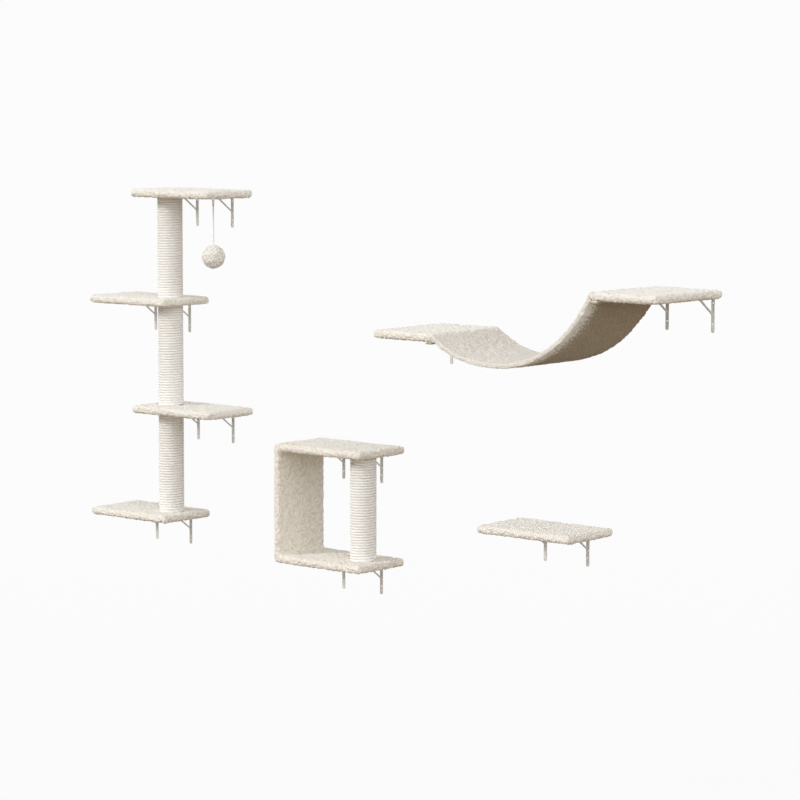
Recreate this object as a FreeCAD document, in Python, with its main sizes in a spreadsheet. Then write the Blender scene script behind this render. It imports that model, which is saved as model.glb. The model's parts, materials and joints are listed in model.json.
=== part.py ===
import FreeCAD, Part
import math
import os
import re
import Sketcher

# A cat tree in four units that hang side by side on one wall: a tower of four shelves, an open condo,
# a sling bridge between two shelves and a single step. Lengths are in millimetres.
# X runs along the wall to the right, Y into the wall and Z up. The wall's face is the plane y = 0.
# The origin is the middle of the four wall screw holes under the tower's lowest shelf.

SIZES = {
    # plush covered boards
    "board_length": 340,
    "board_depth": 210,
    "board_thick": 15,
    "plush_thick": 5,
    "cover_edge": 4,
    "cover_cut": 9,
    "wall_gap": 1,
    # rope wound posts
    "post_length": 332,
    "post_radius": 42,
    "post_inset": 76,
    "rope_thick": 8,
    "rope_clearance": 0.3,
    "rope_turns": 5,
    # the bolts that join posts to boards
    "stud_radius": 4,
    "stud_clearance": 0.05,
    "post_grip": 20,
    "board_grip": 12,
    "bolt_hole_clearance": 0.4,
    "bolt_head_radius": 8,
    "bolt_head_height": 5,
    # wall brackets
    "strap_width": 11,
    "strap_thick": 2.5,
    "strap_end": 3.5,
    "leg_length": 101,
    "arm_length": 71,
    "brace_width": 8,
    "brace_thick": 2,
    "brace_drop": 45,
    "brace_reach": 66,
    "brace_leg_tab": 8,
    "brace_arm_tab": 5,
    "bracket_spacing": 160,
    "upper_hole_drop": 15,
    "lower_hole_drop": 75,
    "wall_hole_radius": 2.5,
    # hanging toy
    "ball_radius": 38,
    "toy_cord_thick": 5,
    "toy_cord_length": 136,
    "eye_hole_radius": 4,
    "eye_wire": 1.8,
    "eye_shank": 12,
    "eye_clearance": 0.2,
    "loop_radius": 4.2,
    "loop_wire": 3.2,
    "loop_clearance": 0.3,
    # condo
    "condo_left": 659,
    "condo_underside": -30,
    "condo_board_length": 355,
    "condo_post_inset": 80,
    "condo_bracket_offset": 187,
    "condo_corner": 14,
    "key_thick": 4,
    "key_width": 150,
    "key_in_board": 8,
    "key_in_side": 12,
    "key_clearance": 0.05,
    # sling bridge
    "bridge_left": 1175,
    "bridge_underside": 725,
    "bridge_rise": 152,
    "bridge_board_width": 221,
    "bridge_board_depth": 325,
    "sling_span": 579,
    "sling_thick": 13,
    "sling_side_gap": 2,
    "sling_dip": 68.5,
    "sling_dip_offset": 234,
    "sling_low_angle": 39,
    "sling_high_angle": 62,
    "tongue_thick": 3,
    "tongue_length": 27,
    "batten_width": 20,
    "batten_thick": 4,
    "batten_inset": 5,
    # step
    "step_left": 1486,
    "step_underside": 148,
}

# Sizes that follow from the ones above.
DERIVED = {
    "cover_length": "board_length + 2 * plush_thick",
    "cover_depth": "board_depth + 2 * plush_thick",
    "cover_thick": "board_thick + 2 * plush_thick",
    "board_back": "wall_gap + plush_thick",
    "shelf_rise": "post_length + cover_thick",
    "seat": "(upper_hole_drop + lower_hole_drop) / 2",
    "post_x": "cover_length / 2 - post_inset",
    "post_y": "-(wall_gap + cover_depth / 2)",
    "shelf_shift": "2 * post_x",
    "toy_x": "shelf_shift + post_x",
    "core_radius": "post_radius - rope_thick - rope_clearance",
    "bolt_hole_radius": "stud_radius + bolt_hole_clearance",
    "condo_length": "condo_board_length + 2 * plush_thick",
    "condo_post_x": "condo_left + condo_length - condo_post_inset",
    "condo_bracket_x": "condo_left + condo_bracket_offset",
    "bridge_width": "bridge_board_width + 2 * plush_thick",
    "bridge_depth": "bridge_board_depth + 2 * plush_thick",
    "bridge_low_x": "bridge_left + bridge_width / 2",
    "sling_start": "bridge_left + bridge_width",
    "sling_end": "sling_start + sling_span",
    "bridge_high_x": "sling_end + bridge_width / 2",
    "step_x": "step_left + cover_length / 2",
    "bridge_y": "-(wall_gap + bridge_depth / 2)",
    "sling_depth": "bridge_depth - 2 * sling_side_gap",
    "eye_ring": "eye_hole_radius + eye_wire / 2",
    "eye_z": "seat + 3 * shelf_rise - eye_ring - eye_wire / 2",
    "loop_z": "eye_z - eye_ring + eye_wire / 2 + loop_clearance - loop_radius + loop_wire / 2",
    "cord_top": "loop_z - loop_radius - loop_wire / 2 - loop_clearance",
}

BALL_BANDS = 8
BALL_SIDES = 16
ROPE_SIDES = 4
WIRE_SIDES = 4

doc = FreeCAD.newDocument("wall_cat_tree")
sizes = doc.addObject("Spreadsheet::Sheet", "sizes")


def fill_sheet():
    row = 0
    for name, number in SIZES.items():
        row += 1
        sizes.set(f"A{row}", name)
        sizes.set(f"B{row}", str(number))
        sizes.setAlias(f"B{row}", name)
    for name, formula in DERIVED.items():
        row += 1
        sizes.set(f"A{row}", name)
        sizes.set(f"B{row}", "=" + formula)
        sizes.setAlias(f"B{row}", name)
    doc.recompute()


def cell(formula):
    """A formula in the sheet's names, written so that the document can follow it."""

    def linked(match):
        word = match.group()
        return "sizes." + word if word in SIZES or word in DERIVED else word

    return re.sub(r"[a-z_]+", linked, str(formula))


def number(formula):
    return float(sizes.evalExpression(cell(formula)))


def bind(thing, **formulas):
    for name, formula in formulas.items():
        thing.setExpression(name, cell(formula))


def place(thing, x="0", y="0", z="0"):
    for axis, formula in (("x", x), ("y", y), ("z", z)):
        thing.setExpression("Placement.Base." + axis, cell(formula))


def new_body(label):
    body = doc.addObject("PartDesign::Body", label)
    body.Label = label
    return body


def outline(body, name, plane, corners):
    """A closed outline of straight sides. Each corner is held by its two distances from the origin."""
    sketch = body.newObject("Sketcher::SketchObject", name)
    support = next(item for item in body.Origin.OriginFeatures if item.Role == plane)
    sketch.AttachmentSupport = (support, [""])
    sketch.MapMode = "FlatFace"
    spots = [FreeCAD.Vector(number(x), number(y), 0) for x, y in corners]
    for i, spot in enumerate(spots):
        sketch.addGeometry(Part.LineSegment(spot, spots[(i + 1) % len(spots)]), False)
    for i in range(len(spots)):
        sketch.addConstraint(Sketcher.Constraint("Coincident", i, 2, (i + 1) % len(spots), 1))
    for i, (formulas, spot) in enumerate(zip(corners, spots)):
        hold_point(sketch, i, 1, formulas, spot)
    return sketch


def hold_point(sketch, item, end, formulas, spot):
    for kind, formula, distance, axis in (
        ("DistanceX", formulas[0], spot.x, -2),
        ("DistanceY", formulas[1], spot.y, -1),
    ):
        if formula == "0":
            sketch.addConstraint(Sketcher.Constraint("PointOnObject", item, end, axis))
        else:
            index = sketch.addConstraint(Sketcher.Constraint(kind, -1, 1, item, end, distance))
            sketch.setExpression(f"Constraints[{index}]", cell(formula))


def circles(body, name, plane, centres, radius):
    sketch = body.newObject("Sketcher::SketchObject", name)
    support = next(item for item in body.Origin.OriginFeatures if item.Role == plane)
    sketch.AttachmentSupport = (support, [""])
    sketch.MapMode = "FlatFace"
    for i, (x, y) in enumerate(centres):
        spot = FreeCAD.Vector(number(x), number(y), 0)
        circle = Part.Circle(spot, FreeCAD.Vector(0, 0, 1), number(radius))
        sketch.addGeometry(circle, False)
        index = sketch.addConstraint(Sketcher.Constraint("Radius", i, number(radius)))
        sketch.setExpression(f"Constraints[{index}]", cell(radius))
        hold_point(sketch, i, 3, (x, y), spot)
    return sketch


def pad(body, sketch, length):
    """Thickens a sketch by the same amount to both sides of its plane."""
    feature = body.newObject("PartDesign::Pad", sketch.Name + "_pad")
    feature.Profile = sketch
    feature.SideType = "Symmetric"
    bind(feature, Length=length)
    doc.recompute()
    return feature


def pocket(body, sketch, length):
    before = body.Shape.Volume
    feature = body.newObject("PartDesign::Pocket", sketch.Name + "_pocket")
    feature.Profile = sketch
    feature.SideType = "Symmetric"
    bind(feature, Length=length)
    doc.recompute()
    if body.Shape.Volume > before - 1:
        raise RuntimeError(body.Label + ": a pocket cuts nothing")
    return feature


def block(body, kind, name, length, depth, height, x="0", y="0", z="0"):
    """A box that is added or cut, by the middle of its underside."""
    feature = body.newObject("PartDesign::" + kind + "Box", name)
    bind(feature, Length=length, Width=depth, Height=height)
    place(feature, f"{x} - ({length}) / 2", f"{y} - ({depth}) / 2", z)
    return feature


def rod(body, kind, name, radius, height, x="0", y="0", z="0"):
    feature = body.newObject("PartDesign::" + kind + "Cylinder", name)
    bind(feature, Radius=radius, Height=height)
    place(feature, x, y, z)
    return feature


def round_edges(body, radius, wanted):
    """Fillets the edges of the body's shape for which wanted(edge) is true."""
    doc.recompute()
    base = body.Tip
    names = [f"Edge{i + 1}" for i, edge in enumerate(base.Shape.Edges) if wanted(edge)]
    feature = body.newObject("PartDesign::Fillet", base.Name + "_round")
    feature.Base = (base, names)
    bind(feature, Radius=radius)
    doc.recompute()
    return feature


def bevel_edges(body, size, wanted):
    """Chamfers the edges of the body's shape for which wanted(edge) is true."""
    doc.recompute()
    base = body.Tip
    names = [f"Edge{i + 1}" for i, edge in enumerate(base.Shape.Edges) if wanted(edge)]
    feature = body.newObject("PartDesign::Chamfer", base.Name + "_bevel")
    feature.Base = (base, names)
    bind(feature, Size=size)
    doc.recompute()
    return feature


def runs_along(edge, direction):
    return (
        edge.Curve.TypeId == "Part::GeomLine"
        and abs(edge.tangentAt(edge.FirstParameter).dot(direction)) > 0.999
    )


ALONG_X = FreeCAD.Vector(1, 0, 0)
ALONG_Y = FreeCAD.Vector(0, 1, 0)
ALONG_Z = FreeCAD.Vector(0, 0, 1)


# ---------------------------------------------------------------- boards and their covers


def board(label, length, depth, x, z, holes=()):
    """A board, x at its middle and z at its cover's underside. A hole is (x, y, radius, z, height)."""
    body = new_body(label)
    block(body, "Additive", label + "_slab", length, depth, "board_thick")
    for i, (hole_x, hole_y, radius, hole_z, height) in enumerate(holes):
        rod(body, "Subtractive", f"{label}_hole_{i}", radius, height, hole_x, hole_y, hole_z)
    place(body, x, f"-(board_back + ({depth}) / 2)", f"{z} + plush_thick")
    return body


def cover(label, length, depth, x, z, holes=()):
    """A plush sleeve that closes round a board. A square hole is (x, width, height), from the underside."""
    body = new_body(label)
    outer_length = f"({length}) + 2 * plush_thick"
    outer_depth = f"({depth}) + 2 * plush_thick"
    block(body, "Additive", label + "_sleeve", outer_length, outer_depth, "cover_thick")
    round_edges(body, "cover_edge", is_rim)
    block(body, "Subtractive", label + "_inside", length, depth, "board_thick", z="plush_thick")
    for i, (hole_x, width, height) in enumerate(holes):
        block(body, "Subtractive", f"{label}_hole_{i}", width, width, height, hole_x)
    place(body, x, f"-(wall_gap + ({outer_depth}) / 2)", z)
    return body


def is_rim(edge):
    """True on the level edges of a cover's top and bottom faces."""
    return abs(edge.BoundBox.ZMax - edge.BoundBox.ZMin) < 1e-6


# ---------------------------------------------------------------- brackets


def bracket(label, x, z):
    """A braced strap bracket, placed by the corner between the wall and the shelf's underside."""
    body = new_body(label)
    strap = outline(
        body,
        label + "_strap",
        "YZ_Plane",
        [
            ("0", "0"),
            ("-arm_length", "0"),
            ("-arm_length", "-strap_thick"),
            ("-strap_thick", "-strap_thick"),
            ("-strap_thick", "-leg_length"),
            ("0", "-leg_length"),
        ],
    )
    pad(body, strap, "strap_width")
    bevel_edges(body, "strap_end", is_strap_end)
    inner = "-strap_thick"
    outer = "-(strap_thick + brace_thick)"
    slant = "brace_thick * 0.4"
    brace = outline(
        body,
        label + "_brace",
        "YZ_Plane",
        [
            (inner, "-(brace_drop + brace_leg_tab)"),
            (outer, "-(brace_drop + brace_leg_tab)"),
            (outer, f"-(brace_drop + {slant})"),
            (f"-(brace_reach + {slant})", outer),
            ("-(brace_reach + brace_arm_tab)", outer),
            ("-(brace_reach + brace_arm_tab)", inner),
            (f"-(brace_reach - {slant})", inner),
            (inner, f"-(brace_drop - {slant})"),
        ],
    )
    pad(body, brace, "brace_width")
    holes = circles(
        body,
        label + "_holes",
        "XZ_Plane",
        [("0", "-upper_hole_drop"), ("0", "-lower_hole_drop")],
        "wall_hole_radius",
    )
    pocket(body, holes, "3 * strap_thick")
    place(body, x, "0", z)
    return body


def is_strap_end(edge):
    """True on the four corners of the strap's two free ends."""
    box = edge.BoundBox
    at_leg_end = runs_along(edge, ALONG_Y) and abs(box.ZMin + number("leg_length")) < 1e-6
    at_arm_end = runs_along(edge, ALONG_Z) and abs(box.YMin + number("arm_length")) < 1e-6
    return at_leg_end or at_arm_end


def bracket_pair(unit, x, z):
    half = "bracket_spacing / 2"
    bracket(unit + "_bracket_left", f"{x} - {half}", z)
    bracket(unit + "_bracket_right", f"{x} + {half}", z)


# ---------------------------------------------------------------- posts


def post_core(label, x, z):
    """A round pole with a threaded bore in each end."""
    body = new_body(label)
    bore = "stud_radius + stud_clearance"
    rod(body, "Additive", label + "_pole", "core_radius", "post_length")
    rod(body, "Subtractive", label + "_foot_bore", bore, "post_grip")
    rod(body, "Subtractive", label + "_head_bore", bore, "post_grip", z="post_length - post_grip")
    place(body, x, "post_y", z)
    return body


def polygon(centre, first, second, radius, sides):
    """An even polygon about a centre, in the plane of two directions, as a closed wire."""
    corners = []
    for i in range(sides):
        angle = 2 * math.pi * (i + 0.5) / sides
        corners.append(centre + first * (radius * math.cos(angle)) + second * (radius * math.sin(angle)))
    return Part.makePolygon(corners + corners[:1])


def biarc(start, start_way, end, end_way):
    """Two arcs that leave start and reach end along the given unit directions, and meet smoothly."""
    gap = end - start
    a = 2 * (start_way.dot(end_way) - 1)
    b = -2 * gap.dot(start_way + end_way)
    c = gap.dot(gap)
    if abs(a) < 1e-9:
        reach = -c / b
    else:
        reach = (-b - math.sqrt(b * b - 4 * a * c)) / (2 * a)
    middle = (start + end + (start_way - end_way) * reach) * 0.5
    arcs = []
    for first, pull, last in (
        (start, start + start_way * reach, middle),
        (middle, end - end_way * reach, end),
    ):
        weight = (last - first).Length / (2 * reach)
        crown = (first + pull * (2 * weight) + last) * (1 / (2 + 2 * weight))
        arcs.append(Part.Arc(first, crown, last))
    return arcs


def winding_path(radius, pitch, turns, low):
    """A helix of quarter turn biarcs that starts at the height low, and the place and way of its two ends."""
    climb = pitch / (2 * math.pi)

    def spot(angle):
        return FreeCAD.Vector(radius * math.cos(angle), radius * math.sin(angle), low + climb * angle)

    def way(angle):
        along = FreeCAD.Vector(-radius * math.sin(angle), radius * math.cos(angle), climb)
        return along.normalize()

    quarter = math.pi / 2
    edges = []
    for i in range(4 * turns):
        start, end = i * quarter, (i + 1) * quarter
        for arc in biarc(spot(start), way(start), spot(end), way(end)):
            edges.append(arc.toShape())
    top = 4 * turns * quarter
    return edges, (spot(0), way(0)), (spot(top), way(top))


def wound_rope():
    """One rope wound up a post as an unbroken tube, standing on the shelf at z = 0."""
    thick = number("rope_thick")
    turns = int(number("rope_turns"))
    radius = number("post_radius") - thick / 2
    rise = number("post_length") - 2 * thick
    edges, (first, first_way), (last, last_way) = winding_path(radius, rise / turns, turns, thick)
    tail = first - first_way * thick
    edges.insert(0, Part.LineSegment(tail, first).toShape())
    edges.append(Part.LineSegment(last, last + last_way * thick).toShape())
    path = Part.Wire(edges)
    outward = FreeCAD.Vector(1, 0, 0)
    side = first_way.cross(outward).normalize()
    section = polygon(tail, outward, side, thick / 2, ROPE_SIDES)
    rope = path.makePipeShell([section], True, False)
    expected = Part.Face(section).Area * path.Length
    if abs(rope.Volume - expected) > 0.01 * expected:
        raise RuntimeError("the wound rope has the wrong volume")
    return rope


def least_gap_of_winding():
    """The rope's least distance to itself, measured on points one turn and more apart."""
    thick = number("rope_thick")
    turns = int(number("rope_turns"))
    radius = number("post_radius") - thick / 2
    pitch = (number("post_length") - 2 * thick) / turns
    per_turn = 36
    spots = []
    for i in range(per_turn * turns + 1):
        angle = 2 * math.pi * i / per_turn
        spots.append(
            FreeCAD.Vector(radius * math.cos(angle), radius * math.sin(angle), pitch * i / per_turn)
        )
    nearest = min(
        (spots[j] - spots[i]).Length
        for i in range(per_turn)
        for j in range(i + per_turn // 2, min(i + 2 * per_turn, len(spots)))
    )
    return nearest - thick


def cylinder(name, radius, height, x, y, z):
    feature = doc.addObject("Part::Cylinder", name)
    feature.Label = name
    bind(feature, Radius=radius, Height=height)
    place(feature, x, y, z)
    return feature


def shaped(label, shape):
    """A piece whose shape is made in full by this script."""
    feature = doc.addObject("Part::Feature", label)
    feature.Label = label
    feature.Shape = shape
    return feature


def group(label, items):
    """Like pieces that share one node and stay separate solids."""
    feature = doc.addObject("Part::Compound", label)
    feature.Label = label
    feature.Links = items
    return feature


def base_bolt(name, x, z):
    """A hexagon bolt that comes up through a shelf into a post, z at the cover's underside."""
    shank = cylinder(name + "_shank", "stud_radius", "cover_thick + post_grip", x, "post_y", z)
    head = doc.addObject("Part::Prism", name + "_head")
    head.Polygon = 6
    bind(head, Circumradius="bolt_head_radius", Height="bolt_head_height")
    place(head, x, "post_y", f"{z} - bolt_head_height")
    bolt = doc.addObject("Part::Fuse", name)
    bolt.Base = shank
    bolt.Tool = head
    return bolt


def posts():
    """Four posts alike: three between the tower's shelves and one in the condo."""
    rope = wound_rope()
    print("least gap between the rope's turns:", round(least_gap_of_winding(), 2), "mm")
    ropes = []
    for name, x, z in (
        ("tower_post_{}_1", "post_x", "seat + cover_thick"),
        ("tower_post_{}_2", "post_x", "seat + cover_thick + shelf_rise"),
        ("tower_post_{}_3", "post_x", "seat + cover_thick + 2 * shelf_rise"),
        ("condo_post_{}", "condo_post_x", "condo_underside + cover_thick"),
    ):
        post_core(name.format("core"), x, z)
        winding = shaped(name.format("winding"), rope)
        place(winding, x, "post_y", z)
        ropes.append(winding)
    group("post_ropes", ropes)


def joining_bolts():
    """Studs through the middle shelves and up into the top boards, and bolts from below."""
    studs = []
    for level in (1, 2):
        z = f"seat + {level} * shelf_rise - post_grip"
        length = "cover_thick + 2 * post_grip"
        studs.append(cylinder(f"middle_stud_{level}", "stud_radius", length, "post_x", "post_y", z))
    bolts = []
    for unit, x, low, high in (
        ("tower", "post_x", "seat", "seat + 3 * shelf_rise"),
        ("condo", "condo_post_x", "condo_underside", "condo_underside + shelf_rise"),
    ):
        length = "post_grip + plush_thick + board_grip"
        top_z = f"{high} - post_grip"
        studs.append(cylinder(f"{unit}_top_stud", "stud_radius", length, x, "post_y", top_z))
        bolts.append(base_bolt(f"{unit}_base_bolt", x, low))
    group("post_joining_studs", studs)
    group("post_base_bolts", bolts)


# ---------------------------------------------------------------- the tower and its toy


def tower():
    """Four shelves, set left and right by turns, that share the post axis between them."""
    through = "bolt_hole_radius"
    for level in range(4):
        to_right = level % 2 == 1
        x = "shelf_shift" if to_right else "0"
        post_at = "-post_x" if to_right else "post_x"
        z = f"seat + {level} * shelf_rise"
        if level < 3:
            board_holes = [(post_at, "0", through, "0", "board_thick")]
            cover_holes = [(post_at, "cover_cut", "cover_thick")]
        else:
            board_holes = [
                (post_at, "0", "stud_radius + stud_clearance", "0", "board_grip"),
                ("post_x", "0", "eye_wire / 2", "0", "eye_shank"),
            ]
            cover_holes = [
                (post_at, "cover_cut", "plush_thick"),
                ("post_x", "eye_wire + 2 * eye_clearance", "plush_thick"),
            ]
        board(f"tower_board_{level + 1}", "board_length", "board_depth", x, z, board_holes)
        cover(f"tower_cover_{level + 1}", "board_length", "board_depth", x, z, cover_holes)
        bracket_pair(f"tower_shelf_{level + 1}", x, z)


def ring(radius, wire, axis, across):
    """A ring of wire about an axis through the origin. The direction across is square to the axis."""
    section = Part.Face(polygon(across * radius, across, axis, wire, WIRE_SIDES))
    return section.revolve(FreeCAD.Vector(), axis, 360)


def toy():
    """A plush ball on a cord, hung by the cord's loop from a screw eye under the top shelf."""
    wire = number("eye_wire") / 2
    radius = number("eye_ring")
    shank_wire = Part.Face(polygon(ALONG_Z * radius, ALONG_X, ALONG_Y, wire, WIRE_SIDES))
    shank = shank_wire.extrude(ALONG_Z * (wire + number("plush_thick + eye_shank")))
    eye = shaped("toy_screw_eye", ring(radius, wire, ALONG_Y, ALONG_X).fuse(shank))
    place(eye, "toy_x", "post_y", "eye_z")
    loop = shaped("toy_cord_loop", ring(number("loop_radius"), number("loop_wire / 2"), ALONG_X, ALONG_Y))
    place(loop, "toy_x", "post_y", "loop_z")
    low = "cord_top - toy_cord_length"
    cylinder("toy_cord", "toy_cord_thick / 2", "toy_cord_length", "toy_x", "post_y", low)
    ball(low)


def ball(top):
    """A round ball of flat facets in even bands. The cord goes in at the small flat on its top."""
    radius = number("ball_radius")
    rings = []
    for band in range(BALL_BANDS):
        tilt = math.pi * ((band + 0.5) / BALL_BANDS - 0.5)
        centre = ALONG_Z * (radius * math.sin(tilt))
        outline_wire = polygon(centre, ALONG_X, ALONG_Y, radius * math.cos(tilt), BALL_SIDES)
        rings.append([vertex.Point for vertex in outline_wire.OrderedVertexes])
    faces = [rings[0], rings[-1]]
    for low, high in zip(rings, rings[1:]):
        for i in range(BALL_SIDES):
            j = (i + 1) % BALL_SIDES
            faces.append([low[i], low[j], high[j], high[i]])
    skin = Part.makeShell([Part.Face(Part.makePolygon(face + face[:1])) for face in faces])
    flat_height = radius * math.cos(math.pi / (2 * BALL_BANDS))
    place(shaped("toy_ball", Part.makeSolid(skin)), "toy_x", "post_y", f"{top} - {flat_height:.4f}")


# ---------------------------------------------------------------- the condo


def condo():
    """Two boards joined at their left ends by a side board, all in one continuous cover."""
    middle = "condo_left + condo_length / 2"
    low = "condo_underside"
    high = "condo_underside + shelf_rise"
    post_at = "condo_length / 2 - condo_post_inset"
    through = (post_at, "0", "bolt_hole_radius", "0", "board_thick")
    blind = (post_at, "0", "stud_radius + stud_clearance", "0", "board_grip")
    height = "shelf_rise - board_thick"
    side_x = "condo_left + plush_thick + board_thick / 2"
    corner_x = "(board_thick - condo_board_length) / 2"
    bottom = board("condo_bottom_board", "condo_board_length", "board_depth", middle, low, [through])
    groove(bottom, "bottom_groove", corner_x, "board_thick - key_in_board", "key_in_board")
    top = board("condo_top_board", "condo_board_length", "board_depth", middle, high, [blind])
    groove(top, "top_groove", corner_x, "0", "key_in_board")
    side = new_body("condo_side_board")
    block(side, "Additive", "side_slab", "board_thick", "board_depth", height)
    groove(side, "side_low_groove", "0", "0", "key_in_side")
    groove(side, "side_high_groove", "0", f"{height} - key_in_side", "key_in_side")
    place(side, side_x, "post_y", "condo_underside + plush_thick + board_thick")
    condo_cover(f"{post_at} + condo_length / 2")
    corner_keys(side_x)
    bracket_pair("condo_bottom", "condo_bracket_x", low)
    bracket_pair("condo_top", "condo_bracket_x", high)


def groove(body, name, x, z, height):
    """A groove for a corner key."""
    thick = "key_thick + 2 * key_clearance"
    width = "key_width + 2 * key_clearance"
    block(body, "Subtractive", name, thick, width, height, x, z=z)


def corner_keys(x):
    """Flat keys glued in grooves join the side board to the other two."""
    keys = []
    joint_low = "condo_underside + plush_thick + board_thick"
    for name, z in (
        ("low_key", f"{joint_low} - key_in_board"),
        ("high_key", f"{joint_low} + shelf_rise - board_thick - key_in_side"),
    ):
        key = doc.addObject("Part::Box", name)
        bind(key, Length="key_thick", Width="key_width", Height="key_in_board + key_in_side")
        place(key, f"{x} - key_thick / 2", "post_y - key_width / 2", z)
        keys.append(key)
    group("condo_corner_keys", keys)


def c_profile(inset):
    """The corners of the condo's C outline, drawn in by inset. It opens to the right."""
    right = f"condo_length - {inset}"
    high = f"shelf_rise + cover_thick - {inset}"
    inner = f"cover_thick - {inset}"
    ceiling = f"shelf_rise + {inset}"
    return [
        (inset, inset),
        (right, inset),
        (right, inner),
        (inner, inner),
        (inner, ceiling),
        (right, ceiling),
        (right, high),
        (inset, high),
    ]


def condo_cover(post_spot):
    body = new_body("condo_cover")
    pad(body, outline(body, "condo_outside", "XZ_Plane", c_profile("0")), "cover_depth")
    inner_x = number("cover_thick")
    round_edges(body, "condo_corner", lambda edge: upright_corner(edge, 0))
    round_edges(body, "cover_edge", lambda edge: upright_corner(edge, inner_x))
    bevel_edges(body, "cover_edge", is_side_rim)
    pocket(body, outline(body, "condo_inside", "XZ_Plane", c_profile("plush_thick")), "board_depth")
    hole = "cover_cut"
    block(body, "Subtractive", "condo_bolt_hole", hole, hole, "cover_thick", post_spot)
    block(body, "Subtractive", "condo_stud_hole", hole, hole, "plush_thick", post_spot, z="shelf_rise")
    place(body, "condo_left", "post_y", "condo_underside")


def upright_corner(edge, x):
    """True on an edge that runs from the room to the wall at the given distance along the wall."""
    return runs_along(edge, ALONG_Y) and abs(edge.BoundBox.XMin - x) < 1e-6


def is_side_rim(edge):
    """True on the edges of the cover's two faces towards the room and the wall."""
    box = edge.BoundBox
    flat = box.YMax - box.YMin < 1e-6
    return flat and abs(abs(box.YMin) - number("cover_depth / 2")) < 1e-6


# ---------------------------------------------------------------- the sling bridge and the step


def bridge():
    """A low and a high shelf with a padded sling hung between their facing edges."""
    for name, x, z in (
        ("lower", "bridge_low_x", "bridge_underside"),
        ("upper", "bridge_high_x", "bridge_underside + bridge_rise"),
    ):
        board(f"bridge_{name}_board", "bridge_board_width", "bridge_board_depth", x, z)
        cover(f"bridge_{name}_cover", "bridge_board_width", "bridge_board_depth", x, z)
        bracket_pair(f"bridge_{name}", x, z)
    sling()
    reach = "batten_inset + batten_width / 2"
    batten("bridge_lower_batten", f"sling_start - ({reach})", "bridge_underside")
    batten("bridge_upper_batten", f"sling_end + {reach}", "bridge_underside + bridge_rise")


def batten(label, x, z):
    """A strip that clamps the sling's tongue to the underside of a shelf."""
    body = new_body(label)
    block(body, "Additive", label + "_strip", "batten_width", "sling_depth", "batten_thick")
    place(body, x, "bridge_y", f"{z} - tongue_thick - batten_thick")


def beside(curve, distance):
    """The curve through the points that lie to the left of an arc or line by the given distance."""
    first, last = curve.FirstParameter, curve.LastParameter
    spots = []
    for step in (first, (first + last) / 2, last):
        way = curve.tangent(step)[0]
        spots.append(curve.value(step) + FreeCAD.Vector(-way.z, 0, way.x) * distance)
    if curve.TypeId == "Part::GeomLineSegment":
        return Part.LineSegment(spots[0], spots[2])
    return Part.Arc(*spots)


def sling_curve():
    """The line through the middle of the sling's thickness, run on past both ends."""
    start = FreeCAD.Vector(number("sling_start"), 0, number("bridge_underside + cover_thick / 2"))
    low = start + FreeCAD.Vector(number("sling_dip_offset"), 0, -number("sling_dip"))
    end = start + FreeCAD.Vector(number("sling_span"), 0, number("bridge_rise"))
    down = math.radians(number("sling_low_angle"))
    up = math.radians(number("sling_high_angle"))
    first_way = FreeCAD.Vector(math.cos(down), 0, -math.sin(down))
    last_way = FreeCAD.Vector(math.cos(up), 0, math.sin(up))
    run_on = number("sling_thick")
    return (
        [Part.LineSegment(start - first_way * run_on, start)]
        + biarc(start, first_way, low, ALONG_X)
        + biarc(low, ALONG_X, end, last_way)
        + [Part.LineSegment(end, end + last_way * run_on)]
    )


def sling():
    """The sling is trimmed flush with the shelves' edges, and a tongue at each end goes under a shelf."""
    half = number("sling_thick") / 2
    curve = sling_curve()
    upper = [beside(part, half) for part in curve]
    lower = [beside(part, -half) for part in curve]
    ends = [
        Part.LineSegment(lower[-1].EndPoint, upper[-1].EndPoint),
        Part.LineSegment(upper[0].StartPoint, lower[0].StartPoint),
    ]
    outline_edges = [part.toShape() for part in upper + lower + ends]
    profile = Part.Face(Part.Wire(Part.__sortEdges__(outline_edges)))
    depth = number("sling_depth")
    body = profile.extrude(ALONG_Y * depth)
    start_x, end_x = number("sling_start"), number("sling_end")
    low_z = number("bridge_underside")
    rise = number("bridge_rise")
    below = number("sling_dip + sling_thick")
    top_z = low_z + rise + number("cover_thick")
    span = number("sling_span")
    room = Part.makeBox(span, depth, top_z - low_z + below, FreeCAD.Vector(start_x, 0, low_z - below))
    body = body.common(room)
    thin = number("tongue_thick")
    reach = number("tongue_length")
    flap_height = number("cover_thick / 2") + thin
    for x, z, outward in ((start_x, low_z, -1), (end_x, low_z + rise, 1)):
        flap_x = x if outward < 0 else x - thin
        tongue_x = x - reach if outward < 0 else x - thin
        flap = Part.makeBox(thin, depth, flap_height, FreeCAD.Vector(flap_x, 0, z - thin))
        tongue = Part.makeBox(reach + thin, depth, thin, FreeCAD.Vector(tongue_x, 0, z - thin))
        body = body.fuse(flap).fuse(tongue)
    hung = doc.addObject("Part::Feature", "bridge_sling")
    hung.Shape = body.removeSplitter()
    place(hung, "0", "bridge_y - sling_depth / 2", "0")


def step():
    board("step_board", "board_length", "board_depth", "step_x", "step_underside")
    cover("step_cover", "board_length", "board_depth", "step_x", "step_underside")
    bracket_pair("step", "step_x", "step_underside")


# ---------------------------------------------------------------- the whole, and its files


def is_sub_part(item):
    """True on the objects that stand for a whole piece, and not on what they are made from."""
    if item.TypeId == "PartDesign::Body":
        return True
    return item.TypeId.startswith("Part::") and not item.InList


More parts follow.
